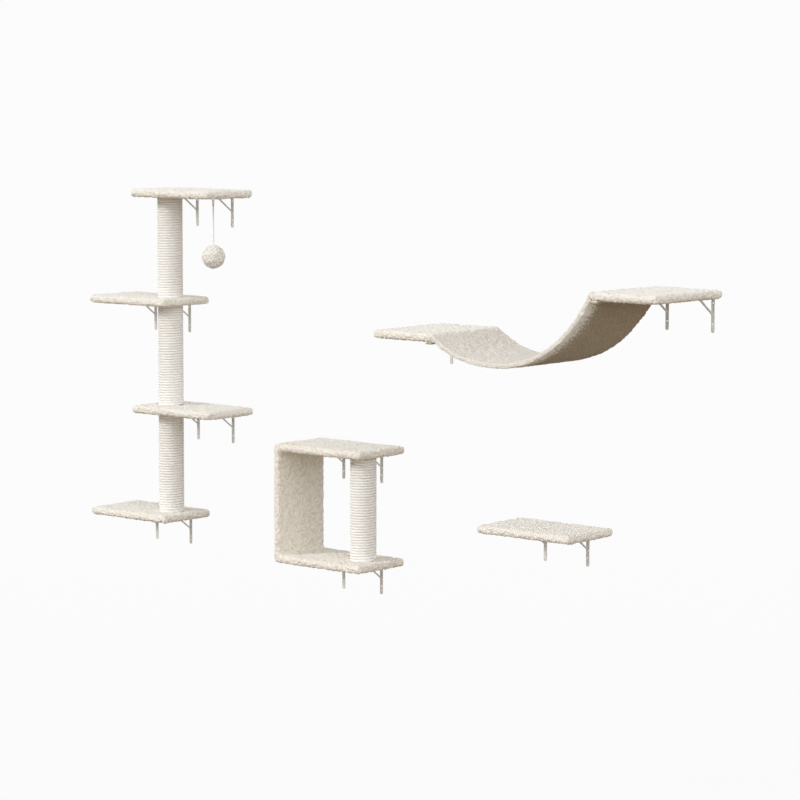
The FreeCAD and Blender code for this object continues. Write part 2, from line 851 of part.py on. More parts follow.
def write_parts():
    failed = [item.Name for item in doc.Objects if "Invalid" in item.State or "Error" in item.State]
    if failed:
        raise RuntimeError("failed objects: " + ", ".join(failed))
    pieces = [item for item in doc.Objects if is_sub_part(item)]
    for piece in pieces:
        if piece.Shape.isNull() or not piece.Shape.isValid():
            raise RuntimeError(piece.Label + " has no valid shape")
    os.makedirs("parts", exist_ok=True)
    for piece in pieces:
        piece.Shape.exportStep(f"parts/{piece.Label}.step")
    print(len(pieces), "sub-parts written")


fill_sheet()
tower()
toy()
condo()
bridge()
step()
posts()
joining_bolts()
doc.recompute()
write_parts()
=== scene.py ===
import json
import math

import bpy
from bpy.props import FloatProperty, FloatVectorProperty, IntProperty, PointerProperty
from mathutils import Matrix, Vector, noise

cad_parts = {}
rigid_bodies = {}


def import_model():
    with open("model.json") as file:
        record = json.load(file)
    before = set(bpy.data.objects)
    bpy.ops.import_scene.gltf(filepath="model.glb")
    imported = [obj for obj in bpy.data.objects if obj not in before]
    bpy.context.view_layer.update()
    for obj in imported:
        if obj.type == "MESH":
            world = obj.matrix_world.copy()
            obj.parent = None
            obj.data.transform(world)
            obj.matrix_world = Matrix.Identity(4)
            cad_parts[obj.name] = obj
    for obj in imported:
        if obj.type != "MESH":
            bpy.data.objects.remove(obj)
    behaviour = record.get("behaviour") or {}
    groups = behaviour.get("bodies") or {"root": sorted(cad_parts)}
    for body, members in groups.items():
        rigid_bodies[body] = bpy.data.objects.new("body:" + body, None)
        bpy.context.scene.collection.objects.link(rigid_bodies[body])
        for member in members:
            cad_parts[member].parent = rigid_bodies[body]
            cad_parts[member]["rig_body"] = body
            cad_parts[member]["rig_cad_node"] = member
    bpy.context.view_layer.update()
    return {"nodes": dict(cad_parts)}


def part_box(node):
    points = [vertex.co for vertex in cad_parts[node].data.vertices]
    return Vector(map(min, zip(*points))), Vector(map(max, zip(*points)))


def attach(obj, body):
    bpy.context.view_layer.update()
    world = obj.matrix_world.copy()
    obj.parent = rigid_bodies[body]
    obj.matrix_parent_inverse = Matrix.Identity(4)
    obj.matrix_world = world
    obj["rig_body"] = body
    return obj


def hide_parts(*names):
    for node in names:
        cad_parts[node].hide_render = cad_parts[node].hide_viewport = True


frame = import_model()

bl_info = {
    "name": "Wall mounted cat tree",
    "version": (1, 0, 0),
    "blender": (4, 5, 0),
    "location": "3D View > Sidebar > Cat Tree",
    "description": "Finishes the plush, rope and metal of a wall mounted cat tree round its fixed frame",
    "category": "Object",
}

ALONG_X = Vector((1, 0, 0))
ALONG_Y = Vector((0, 1, 0))
SAME_SPOT = 1e-6

TOWER_SHELVES = ("tower_cover_1", "tower_cover_2", "tower_cover_3", "tower_cover_4")
SHELVES = (*TOWER_SHELVES, "bridge_lower_cover", "bridge_upper_cover", "step_cover")
POSTS = ("tower_post_core_1", "tower_post_core_2", "tower_post_core_3", "condo_post_core")
BATTENS = ("bridge_lower_batten", "bridge_upper_batten")

# The toy cord's route, straight down from its loop to the ball.
CORD_ROUTE = tuple((0.297, -0.111, z) for z in (1.0978, 1.053, 1.007, 0.9618))

# The plush's tufts. Heights are shares of a tuft's height, pitches are in 1/m or per tuft.
TUFT_STRAY = 0.45
TUFT_STRAY_PITCH = 0.35
TUFT_STEEPNESS = 1.7
TUFT_EVEN_SHARE = 0.88
TUFT_UNEVEN_SHARE = 0.3
TUFT_UNEVEN_PITCH = 0.22
TUFT_BELOW_SURFACE = 0.45
SWAY_PITCH = 22
RIPPLE_PITCH = 78
RIPPLE_TO_SWAY = 1.4
SEED_STEPS = (7.13, 3.71, 1.93)
PRESSED_LIFT = -0.0004
PRESSED_REACH = 0.006
FACING_DOWN = -0.3
BOARD_SKIN = 0.002

# Grains and curls of the condo and the sling are shares of the look's own.
CONDO_SEED = 11
CONDO_GRAIN = 1.25
CONDO_CURL = 1.15
CONDO_OUTER_BEND = 0.016
CONDO_INNER_BEND = 0.011
SLING_SEED = 12
SLING_GRAIN = 1.4
SLING_CURL = 0.8
SLING_WAVE = 0.0012
SLING_TUCK = 0.006
# Width of the band along the sling's front hem where its underside gets a painted highlight.
HEM_BAND = 0.1
BALL_SEED = 21
BALL_CURL_SIZE = 0.0066
BALL_CURL_HEIGHT = 0.0030
BALL_WAVE = 0.001

ROPE_STEPS = 40
ROPE_SIDES = 12
ROPE_LAYS = 10
ROPE_HALF_DEPTH = 0.0041
ROPE_UNEVEN = 0.0002

# The bracket, from its corner: down the leg and out along the arm.
LEG = 0.101
ARM = 0.071
BEND = 0.004
SCREW_HOLES = (0.015, 0.075)
SCREW_HOLE_RADIUS = 0.0025
BRACE_DROP = 0.048
BRACE_REACH = 0.066
BRACE_LEG_TAB = 0.007
BRACE_ARM_TAB = 0.005
BRACE_THICK = 0.002
BRACE_WIDTH = 0.008
LEG_RIVET = 0.052
ARM_SCREWS = (0.022, 0.050)

# Round heads, as (radius, height).
RIVET_HEAD = (0.0022, 0.0012)
ARM_SCREW_HEAD = (0.0034, 0.0016)
BATTEN_SCREW_HEAD = (0.0036, 0.0018)

FLOOR_HEIGHT = -1.0
WHITE_SEEN = 0.972


# ---------------- what a user may change


class PlushLook(bpy.types.PropertyGroup):
    """The looped fleece on the shelves, the condo and the sling."""

    grain: FloatProperty(
        name="Mesh grain",
        description="Distance between the points of a plush surface",
        default=0.0019,
        unit="LENGTH",
    )
    curl_size: FloatProperty(
        name="Curl size", description="Width of one tuft of the pile", default=0.0088, unit="LENGTH"
    )
    curl_height: FloatProperty(
        name="Curl height",
        description="Height of a tuft over the gap beside it",
        default=0.0036,
        unit="LENGTH",
    )
    rim_radius: FloatProperty(
        name="Rim radius",
        description="Rounding of a covered board's long edges",
        default=0.0112,
        unit="LENGTH",
    )
    corner_radius: FloatProperty(
        name="Corner radius",
        description="Rounding of a shelf's corners, seen from above",
        default=0.011,
        unit="LENGTH",
    )
    tip_colour: FloatVectorProperty(
        name="Tip colour",
        description="Colour of the tips of the tufts",
        subtype="COLOR",
        default=(0.92, 0.895, 0.845),
    )
    # Root colour: the tufts' tan roots together with painted shade in the gaps between tufts.
    root_and_shade_colour: FloatVectorProperty(
        name="Root colour",
        description="Colour between the tufts",
        subtype="COLOR",
        default=(0.80, 0.745, 0.65),
    )
    # Dark brown of the sling's downward-facing side.
    underside_colour: FloatVectorProperty(
        name="Underside colour",
        description="Colour of the sling's underside",
        subtype="COLOR",
        default=(0.41, 0.335, 0.24),
    )


class RopeLook(bpy.types.PropertyGroup):
    """The rope wound on the posts."""

    turns: IntProperty(name="Turns", description="Turns of rope on one post", default=39)
    radius: FloatProperty(
        name="Winding radius",
        description="Distance from a post's axis to its rope's middle",
        default=0.038,
        unit="LENGTH",
    )
    colour: FloatVectorProperty(
        name="Rope colour", description="Colour of the rope", subtype="COLOR", default=(0.935, 0.918, 0.896)
    )


class MetalLook(bpy.types.PropertyGroup):
    """The painted brackets' straps."""

    strap_width: FloatProperty(
        name="Strap width", description="Width of a bracket's strap", default=0.011, unit="LENGTH"
    )
    strap_thick: FloatProperty(
        name="Strap thickness", description="Thickness of a bracket's strap", default=0.0025, unit="LENGTH"
    )
    paint_colour: FloatVectorProperty(
        name="Paint colour",
        description="Colour of the brackets' paint",
        subtype="COLOR",
        default=(0.86, 0.86, 0.85),
    )


class ToyLook(bpy.types.PropertyGroup):
    """The hanging ball and its cord."""

    cord_diameter: FloatProperty(
        name="Cord diameter", description="Diameter of the toy's cord", default=0.005, unit="LENGTH"
    )
    ball_colour: FloatVectorProperty(
        name="Ball colour",
        description="Colour of the ball's tufts",
        subtype="COLOR",
        default=(0.94, 0.92, 0.89),
    )


LOOKS = {
    "cattree_plush": PlushLook,
    "cattree_rope": RopeLook,
    "cattree_metal": MetalLook,
    "cattree_toy": ToyLook,
}


# ---------------- working by hand


def only(piece):
    """Selects one piece and makes it active."""
    bpy.ops.object.select_all(action="DESELECT")
    piece.select_set(True)
    bpy.context.view_layer.objects.active = piece


def edit(piece, kind="EDGE"):
    """Goes into edit mode with nothing selected."""
    only(piece)
    bpy.ops.object.mode_set(mode="EDIT")
    bpy.ops.mesh.select_mode(type=kind)
    bpy.ops.mesh.select_all(action="DESELECT")


def done():
    bpy.ops.object.mode_set(mode="OBJECT")


def round_edges(piece, wanted, radius, segments=5):
    """Rounds the edges whose two ends pass wanted(a, b)."""
    edit(piece)
    done()
    mesh = piece.data
    for edge in mesh.edges:
        a, b = (mesh.vertices[i].co for i in edge.vertices)
        edge.select = wanted(a, b)
    bpy.ops.object.mode_set(mode="EDIT")
    bpy.ops.mesh.bevel(offset=radius, segments=segments, affect="EDGES")
    done()


def round_rims(piece, radius, segments=5):
    """Rounds every edge that is still sharp."""
    edit(piece)
    bpy.ops.mesh.edges_select_sharp(sharpness=math.radians(50))
    bpy.ops.mesh.bevel(offset=radius, segments=segments, affect="EDGES")
    done()


def face_outwards():
    """In edit mode, turns all faces the right way round."""
    bpy.ops.mesh.select_all(action="SELECT")
    bpy.ops.mesh.normals_make_consistent(inside=False)


def settle(piece):
    """Puts a piece's place, turn and size into its mesh."""
    only(piece)
    bpy.ops.object.transform_apply(location=True, rotation=True, scale=True)


def named(name):
    """The active object, named, with its place in its mesh."""
    piece = bpy.context.view_layer.objects.active
    piece.name = name
    piece.data.name = name
    settle(piece)
    return piece


def modify(piece, kind, **settings):
    """Adds a modifier and applies it."""
    only(piece)
    modifier = piece.modifiers.new(kind.lower(), kind)
    for key, value in settings.items():
        setattr(modifier, key, value)
    bpy.ops.object.modifier_apply(modifier=modifier.name)


def soften(piece, width, segments, angle):
    """Bevels the edges that are sharper than an angle in degrees."""
    limit = math.radians(angle)
    modify(piece, "BEVEL", width=width, segments=segments, limit_method="ANGLE", angle_limit=limit)


def even_skin(piece, grain):
    """Gives a piece an even skin of points a grain apart."""
    modify(piece, "REMESH", mode="VOXEL", voxel_size=grain, use_smooth_shade=True)


def smooth(piece, degrees=40):
    only(piece)
    bpy.ops.object.shade_smooth_by_angle(angle=math.radians(degrees))


def join(pieces, name):
    bpy.ops.object.select_all(action="DESELECT")
    for piece in pieces:
        piece.select_set(True)
    bpy.context.view_layer.objects.active = pieces[0]
    bpy.ops.object.join()
    pieces[0].name = name
    return pieces[0]


def copied(piece, name, shift):
    """A copy of a finished piece with its own mesh, moved by shift."""
    other = piece.copy()
    other.data = piece.data.copy()
    other.name = name
    other.data.name = name
    bpy.context.scene.collection.objects.link(other)
    other.data.transform(Matrix.Translation(shift))
    return other


def carry(piece, slot, *nodes, body="root", material=None):
    """Lets a finished piece stand for CAD nodes, ride on their body and take its material."""
    if material is not None:
        piece.data.materials.clear()
        piece.data.materials.append(material)
    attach(piece, body)
    if nodes:
        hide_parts(*nodes)


def cuboid(name, low, high):
    middle = (Vector(low) + Vector(high)) / 2
    bpy.ops.mesh.primitive_cube_add(size=1, location=middle)
    bpy.context.view_layer.objects.active.scale = Vector(high) - Vector(low)
    return named(name)


def outline_slab(name, corners, start, end, axis):
    """A flat outline, drawn as (across, up) corners, extruded along X or Y from start to end."""
    bpy.ops.mesh.primitive_circle_add(vertices=len(corners), radius=1, fill_type="NGON")
    piece = named(name)
    for vertex, (across, up) in zip(piece.data.vertices, corners):
        vertex.co = (start, across, up) if axis is ALONG_X else (across, start, up)
    edit(piece)
    bpy.ops.mesh.select_all(action="SELECT")
    bpy.ops.mesh.extrude_region_move(TRANSFORM_OT_translate={"value": axis * (end - start)})
    face_outwards()
    done()
    return piece


def rod(name, radius, depth, location, rotation=(0, 0, 0), sides=24):
    bpy.ops.mesh.primitive_cylinder_add(
        vertices=sides, radius=radius, depth=depth, location=location, rotation=rotation
    )
    return named(name)


def ring(name, radius, wire, location, rotation, steps=40, sides=10):
    bpy.ops.mesh.primitive_torus_add(
        major_radius=radius,
        minor_radius=wire,
        major_segments=steps,
        minor_segments=sides,
        location=location,
        rotation=rotation,
    )
    return named(name)


# ---------------- materials


class Nodes:
    """A node tree under construction."""

    def __init__(self, tree):
        self.tree = tree

    def set(self, node, key, value):
        """Links a socket to a node's input, or gives the input a constant."""
        if isinstance(value, bpy.types.NodeSocket):
            self.tree.links.new(value, node.inputs[key])
        else:
            node.inputs[key].default_value = value

    def add(self, kind, inputs=None, **settings):
        node = self.tree.nodes.new(kind)
        for key, value in settings.items():
            setattr(node, key, value)
        for key, value in (inputs or {}).items():
            self.set(node, key, value)
        return node

    def math(self, operation, first, second, clamp=False):
        inputs = {0: first, 1: second}
        return self.add("ShaderNodeMath", inputs, operation=operation, use_clamp=clamp).outputs[0]

    def mix(self, factor, first, second):
        """Mixes two colours: inputs 0, 6 and 7 are a colour Mix node's factor, A and B."""
        return self.add("ShaderNodeMix", {0: factor, 6: first, 7: second}, data_type="RGBA").outputs[2]

    def bump(self, height, strength, distance):
        inputs = {"Height": height, "Strength": strength, "Distance": distance}
        return self.add("ShaderNodeBump", inputs).outputs[0]

    def place(self):
        return self.add("ShaderNodeTexCoord").outputs["Object"]

    def attribute(self, name):
        return self.add("ShaderNodeAttribute", attribute_name=name).outputs["Fac"]

    def fill(self, shader, **inputs):
        """Sets the shader's inputs, named with _ for a space."""
        for key, value in inputs.items():
            self.set(shader, key.replace("_", " "), value)


def rgba(colour):
    return (*colour, 1)


def tinted(colour, red, green, blue):
    return [part * share for part, share in zip(colour, (red, green, blue))]


def new_material(name):
    """A material with a bare Principled shader, as (material, nodes, shader)."""
    material = bpy.data.materials.new(name)
    material.use_nodes = True
    return material, Nodes(material.node_tree), material.node_tree.nodes["Principled BSDF"]


def bare_nodes(owner):
    """The emptied node tree of a material or a world."""
    owner.use_nodes = True
    owner.node_tree.nodes.clear()
    return Nodes(owner.node_tree)


def group_once(name, inputs, outputs, build):
    """A shader node group that several materials share, built on first use."""
    group = bpy.data.node_groups.get(name)
    if group:
        return group
    group = bpy.data.node_groups.new(name, "ShaderNodeTree")
    for label, default in inputs.items():
        socket = group.interface.new_socket(label, in_out="INPUT", socket_type="NodeSocketFloat")
        socket.default_value = default
    for label in outputs:
        group.interface.new_socket(label, in_out="OUTPUT", socket_type="NodeSocketFloat")
    nodes = Nodes(group)
    source = nodes.add("NodeGroupInput")
    sink = nodes.add("NodeGroupOutput")
    build(nodes, source, sink)
    return group


def fibre_group():
    """Short fibres: a speckle mask and a height, at a given grain."""

    def build(nodes, source, sink):
        place = nodes.place()
        curl_scale = source.outputs["Curls per metre"]
        hair_scale = source.outputs["Fibres per metre"]
        curls = nodes.add("ShaderNodeTexVoronoi", {"Vector": place, "Scale": curl_scale})
        hairs = nodes.add(
            "ShaderNodeTexNoise",
            {"Vector": place, "Scale": hair_scale, "Detail": 3.0, "Roughness": 0.65},
        )
        dome = nodes.math("SUBTRACT", 1.0, curls.outputs["Distance"])
        height = nodes.math(
            "ADD", nodes.math("MULTIPLY", dome, 0.6), nodes.math("MULTIPLY", hairs.outputs[0], 0.8)
        )
        nodes.set(sink, "Height", height)
        nodes.set(sink, "Speckle", hairs.outputs[0])

    inputs = {"Curls per metre": 380.0, "Fibres per metre": 900.0}
    return group_once("short fibres", inputs, ("Height", "Speckle"), build)


def plush_material(name, tip, root, curls=420.0, fibres=1300.0):
    """Looped fleece: light tips, darker gaps from the pile's own height (the roots' tan and painted shade),
    fine fibre and sheen.
    """
    tip_share, speckle_share, cloud_share = 1.1, 1.3, 0.22
    material, nodes, shader = new_material(name)
    inputs = {"Curls per metre": curls, "Fibres per metre": fibres}
    fibre = nodes.add("ShaderNodeGroup", inputs, node_tree=fibre_group())
    speckle = nodes.math("MULTIPLY", nodes.math("SUBTRACT", fibre.outputs["Speckle"], 0.5), speckle_share)
    # Low places of the pile take the root colour: partly its tan, partly painted shade in the gaps.
    height = nodes.math("MULTIPLY", nodes.attribute("pile"), tip_share)
    colour = nodes.mix(nodes.math("ADD", height, speckle, clamp=True), rgba(root), rgba(tip))
    cloud = nodes.add("ShaderNodeTexNoise", {"Vector": nodes.place(), "Scale": 14.0, "Detail": 2.0})
    fade = nodes.math("MULTIPLY", cloud.outputs[0], cloud_share)
    nodes.fill(
        shader,
        Base_Color=nodes.mix(fade, colour, rgba(tinted(tip, 0.93, 0.90, 0.84))),
        Normal=nodes.bump(fibre.outputs["Height"], strength=0.9, distance=0.0011),
        Roughness=0.95,
        Sheen_Weight=0.18,
        Sheen_Roughness=0.6,
        Specular_IOR_Level=0.15,
    )
    return material


def sling_material(look):
    """Plush above; below, dark brown, with a painted highlight of lit fibre tips in a noisy band along the
    front hem.
    """
    hem_share, bare_from, plush_from = 0.42, 0.715, 0.785
    greyer = tinted(look.tip_colour, 0.87, 0.85, 0.835)
    material = plush_material("sling plush", greyer, look.root_and_shade_colour)
    nodes = Nodes(material.node_tree)
    shader = material.node_tree.nodes["Principled BSDF"]
    plush = shader.inputs["Base Color"].links[0].from_socket
    under = nodes.attribute("under")
    place = nodes.place()
    # Painted highlight: light specks of lit fibre tips in a noisy band along the underside's front hem.
    tufts = nodes.add(
        "ShaderNodeTexNoise", {"Vector": place, "Scale": 150.0, "Detail": 4.0, "Roughness": 0.8}
    )
    reach = nodes.math("ADD", nodes.math("MULTIPLY", nodes.attribute("hem"), hem_share), tufts.outputs[0])
    bare = nodes.add("ShaderNodeMapRange", {"Value": reach, "From Min": plush_from, "From Max": bare_from})
    # There the specks take the tip colour lightened by 8%, a painted highlight.
    plush_and_painted_highlight = nodes.mix(under, plush, rgba([min(part * 1.08, 1) for part in look.tip_colour]))
    weave = nodes.add("ShaderNodeTexVoronoi", {"Vector": place, "Scale": 300.0})
    light = rgba(tinted(look.underside_colour, 1.4, 1.4, 1.4))
    dark = rgba(tinted(look.underside_colour, 0.65, 0.65, 0.65))
    cloth = nodes.mix(weave.outputs["Distance"], light, dark)
    colour = nodes.mix(nodes.math("MULTIPLY", under, bare.outputs[0]), plush_and_painted_highlight, cloth)
    nodes.fill(shader, Base_Color=colour)
    return material


def rope_material(name, colour, strands=1.0, relief=0.0008):
    """Three strand rope, slanting by its UV map: U along the rope, times strands, and V round it."""
    material, nodes, shader = new_material(name)
    place = nodes.add("ShaderNodeTexCoord")
    split = nodes.add("ShaderNodeSeparateXYZ", {"Vector": place.outputs["UV"]})
    along = nodes.math("MULTIPLY", split.outputs[0], strands)
    slant = nodes.math("SUBTRACT", nodes.math("MULTIPLY", split.outputs[1], 3.0), along)
    strand = nodes.math("PINGPONG", slant, 0.5)
    rounded = nodes.math("POWER", nodes.math("MULTIPLY", strand, 2.0), 0.45)
    fibres = nodes.add(
        "ShaderNodeTexNoise",
        {"Vector": place.outputs["Object"], "Scale": 1600.0, "Detail": 4.0, "Roughness": 0.7},
    ).outputs[0]
    height = nodes.math("ADD", nodes.math("MULTIPLY", rounded, 0.8), nodes.math("MULTIPLY", fibres, 0.45))
    # Colour darkens towards the grooves between strands by their rounded profile: painted shade, mixed with
    # the fibres' own tone.
    shade = nodes.math("ADD", nodes.math("MULTIPLY", rounded, 0.75), nodes.math("MULTIPLY", fibres, 0.5))
    dark = rgba(tinted(colour, 0.92, 0.90, 0.87))
    nodes.fill(
        shader,
        Base_Color=nodes.mix(nodes.math("MINIMUM", shade, 1.0), dark, rgba(colour)),
        Normal=nodes.bump(height, strength=0.8, distance=relief),
        Roughness=0.85,
        Sheen_Weight=0.1,
        Specular_IOR_Level=0.2,
    )
    return material


def wear_group():
    """Uneven handling marks: a mask and a fine height."""

    def build(nodes, source, sink):
        place = nodes.place()
        mark_scale = source.outputs["Marks per metre"]
        grain_scale = source.outputs["Grain per metre"]
        marks = nodes.add("ShaderNodeTexNoise", {"Vector": place, "Scale": mark_scale, "Detail": 4.0})
        peel = nodes.add("ShaderNodeTexNoise", {"Vector": place, "Scale": grain_scale})
        limits = {"Value": marks.outputs[0], "From Min": 0.4, "From Max": 0.7}
        ramp = nodes.add("ShaderNodeMapRange", limits)
        nodes.set(sink, "Marks", ramp.outputs[0])
        nodes.set(sink, "Grain", peel.outputs[0])

    inputs = {"Marks per metre": 60.0, "Grain per metre": 900.0}
    return group_once("handling marks", inputs, ("Marks", "Grain"), build)


def metal_material(name, colour, metallic, roughness):
    """Painted or plated metal with faint marks and a fine skin."""
    material, nodes, shader = new_material(name)
    wear = nodes.add("ShaderNodeGroup", node_tree=wear_group())
    marks = wear.outputs["Marks"]
    nodes.fill(
        shader,
        Base_Color=nodes.mix(marks, rgba(colour), rgba(tinted(colour, 0.88, 0.88, 0.88))),
        Roughness=nodes.math("ADD", roughness, nodes.math("MULTIPLY", marks, 0.15)),
        Normal=nodes.bump(wear.outputs["Grain"], strength=0.12, distance=0.0003),
        Metallic=metallic,
    )
    return material


def wood_material(name, light, dark, along):
    """Board or pole: long grain along one axis, and pores."""
    long_pitch, cross_pitch = 3.0, 60.0
    material, nodes, shader = new_material(name)
    pitches = [long_pitch if axis == along else cross_pitch for axis in "XYZ"]
    stretch = nodes.add("ShaderNodeMapping", {"Vector": nodes.place(), "Scale": pitches}).outputs[0]
    grain = nodes.add(
        "ShaderNodeTexNoise", {"Vector": stretch, "Scale": 1.0, "Detail": 5.0, "Distortion": 0.6}
    )
    pores = nodes.add("ShaderNodeTexNoise", {"Vector": stretch, "Scale": 14.0, "Detail": 2.0})
    nodes.fill(
        shader,
        Base_Color=nodes.mix(grain.outputs[0], rgba(light), rgba(dark)),
        Normal=nodes.bump(pores.outputs[0], strength=0.3, distance=0.0003),
        Roughness=0.7,
    )
    return material


# ---------------- plush


def pressed_places(low, high):
    """The boxes under bracket arms that lie on a piece, where its pile is pressed flat."""
    touching = 0.004
    before, behind = Vector((0.002, 0.003, 0)), Vector((0.002, 0.01, 0.004))
    places = []
    for name in sorted(frame["nodes"]):
        if "bracket" not in name:
            continue
        a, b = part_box(name)
        under_shelf = low.x < a.x and b.x < high.x and abs(b.z - low.z) < touching
        in_condo = "condo" in name and low.x < a.x < high.x
        if under_shelf or in_condo:
            places.append((a - before, b + behind))
    return places


def is_pressed(spot, normal, places):
    """Whether a point of an underside lies on a bracket's arm."""
    if normal.z >= FACING_DOWN:
        return False
    over_arm = any(a.x < spot.x < b.x and a.y < spot.y < b.y for a, b in places)
    return over_arm and any(abs(spot.z - b.z) < PRESSED_REACH for a, b in places)


def board_boxes(*nodes):
    """The boxes of the boards under a cover, a little larger, which the fabric must stay outside."""
    skin = Vector([BOARD_SKIN] * 3)
    return [(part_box(node)[0] - skin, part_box(node)[1] + skin) for node in nodes]


def outside(spot, boards):
    """A point, moved out by the shortest way if it lies inside a board."""
    for low, high in boards:
        ways = [(spot[i] - low[i], i, low[i]) for i in range(3)]
        ways += [(high[i] - spot[i], i, high[i]) for i in range(3)]
        depth, axis, face = min(ways)
        if depth > 0:
            spot[axis] = face
    return spot


def raise_pile(piece, size, height, seed, wave=0.0009, places=(), boards=()):
    """Moves each point out to the surface of round tufts, and keeps the tufts' height for the material."""
    mesh = piece.data
    shift = Vector([seed * step for step in SEED_STEPS])
    normals = [vertex.normal.copy() for vertex in mesh.vertices]
    pile = mesh.attributes.new("pile", "FLOAT", "POINT")
    for vertex, normal, kept in zip(mesh.vertices, normals, pile.data):
        spot = vertex.co
        stray = noise.noise_vector(spot * (TUFT_STRAY_PITCH / size) + shift) * TUFT_STRAY
        near = noise.voronoi(spot / size + stray + shift)[0][0]
        tuft = 1 - min(near * near * TUFT_STEEPNESS, 1)
        uneven = noise.noise(spot * (TUFT_UNEVEN_PITCH / size) + shift)
        share = TUFT_EVEN_SHARE + TUFT_UNEVEN_SHARE * uneven
        sway = noise.noise(spot * SWAY_PITCH + shift) * wave
        sway += noise.noise(spot * RIPPLE_PITCH + shift) * wave * RIPPLE_TO_SWAY
        lift = (tuft * share - TUFT_BELOW_SURFACE) * height + sway
        if is_pressed(spot, normal, places):
            lift = PRESSED_LIFT
        vertex.co = outside(spot + normal * lift, boards)
        kept.value = tuft
    mesh.update()


def plain_slab(low, high, look):
    """A covered board before its tufts: rounded corners and rims under an even skin of points."""
    slab = cuboid("plain_slab", low, high)
    round_edges(slab, lambda a, b: abs(a.z - b.z) > (high.z - low.z) / 2, look.corner_radius)
    round_rims(slab, look.rim_radius)
    even_skin(slab, look.grain)
    return slab


class CATTREE_OT_shelves(bpy.types.Operator):
    """Cover the seven shelf boards in plush"""

    bl_idname = "cattree.shelves"
    bl_label = "Plush shelves"

    def execute(self, context):
        look = context.scene.cattree_plush
        material = plush_material("shelf plush", look.tip_colour, look.root_and_shade_colour)
        patterns = {}
        for seed, node in enumerate(SHELVES, 1):
            low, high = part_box(node)
            size = tuple(round(side, 4) for side in high - low)
            if size not in patterns:
                patterns[size] = plain_slab(low, high, look), low.copy()
            pattern, home = patterns[size]
            cover = copied(pattern, "plush_" + node, low - home)
            boards = board_boxes(node.replace("cover", "board"))
            places = pressed_places(low, high)
            raise_pile(cover, look.curl_size, look.curl_height, seed, places=places, boards=boards)
            carry(cover, "plush", node, material=material)
        for pattern, home in patterns.values():
            bpy.data.objects.remove(pattern)
        return {"FINISHED"}


class CATTREE_OT_condo(bpy.types.Operator):
    """Cover the condo's three boards in one piece of plush"""

    bl_idname = "cattree.condo"
    bl_label = "Plush condo"

    def execute(self, context):
        look = context.scene.cattree_plush
        low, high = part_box("condo_cover")
        shell = self.shell(low, high, look)
        even_skin(shell, look.grain * CONDO_GRAIN)
        boards = board_boxes("condo_bottom_board", "condo_top_board", "condo_side_board")
        places = pressed_places(low, high)
        height = look.curl_height * CONDO_CURL
        raise_pile(shell, look.curl_size, height, CONDO_SEED, places=places, boards=boards)
        # Darker, warmer roots for the condo: painted warm shade under its top board and inside its C.
        warmer = tinted(look.root_and_shade_colour, 0.98, 0.95, 0.90)
        material = plush_material("condo plush", look.tip_colour, warmer)
        carry(shell, "plush", "condo_cover", material=material)
        return {"FINISHED"}

    def shell(self, low, high, look):
        """The C of the cover, open to the right, with its bends, corners and rims rounded."""
        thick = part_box("tower_cover_1")[1].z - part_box("tower_cover_1")[0].z
        inner = low.x + thick
        corners = (
            (low.x, low.z),
            (high.x, low.z),
            (high.x, low.z + thick),
            (inner, low.z + thick),
            (inner, high.z - thick),
            (high.x, high.z - thick),
            (high.x, high.z),
            (low.x, high.z),
        )
        shell = outline_slab("plush_condo_cover", corners, low.y, high.y, ALONG_Y)

        def long_edge(x):
            return lambda a, b: abs(a.y - b.y) > thick and abs(a.x - x) < SAME_SPOT

        def at_end(a, b):
            upright = abs(a.z - b.z) > thick / 2
            return upright and abs(a.x - high.x) < SAME_SPOT and abs(b.x - high.x) < SAME_SPOT

        round_edges(shell, long_edge(low.x), CONDO_OUTER_BEND, segments=6)
        round_edges(shell, long_edge(inner), CONDO_INNER_BEND)
        round_edges(shell, at_end, look.corner_radius)
        round_rims(shell, look.rim_radius)
        return shell


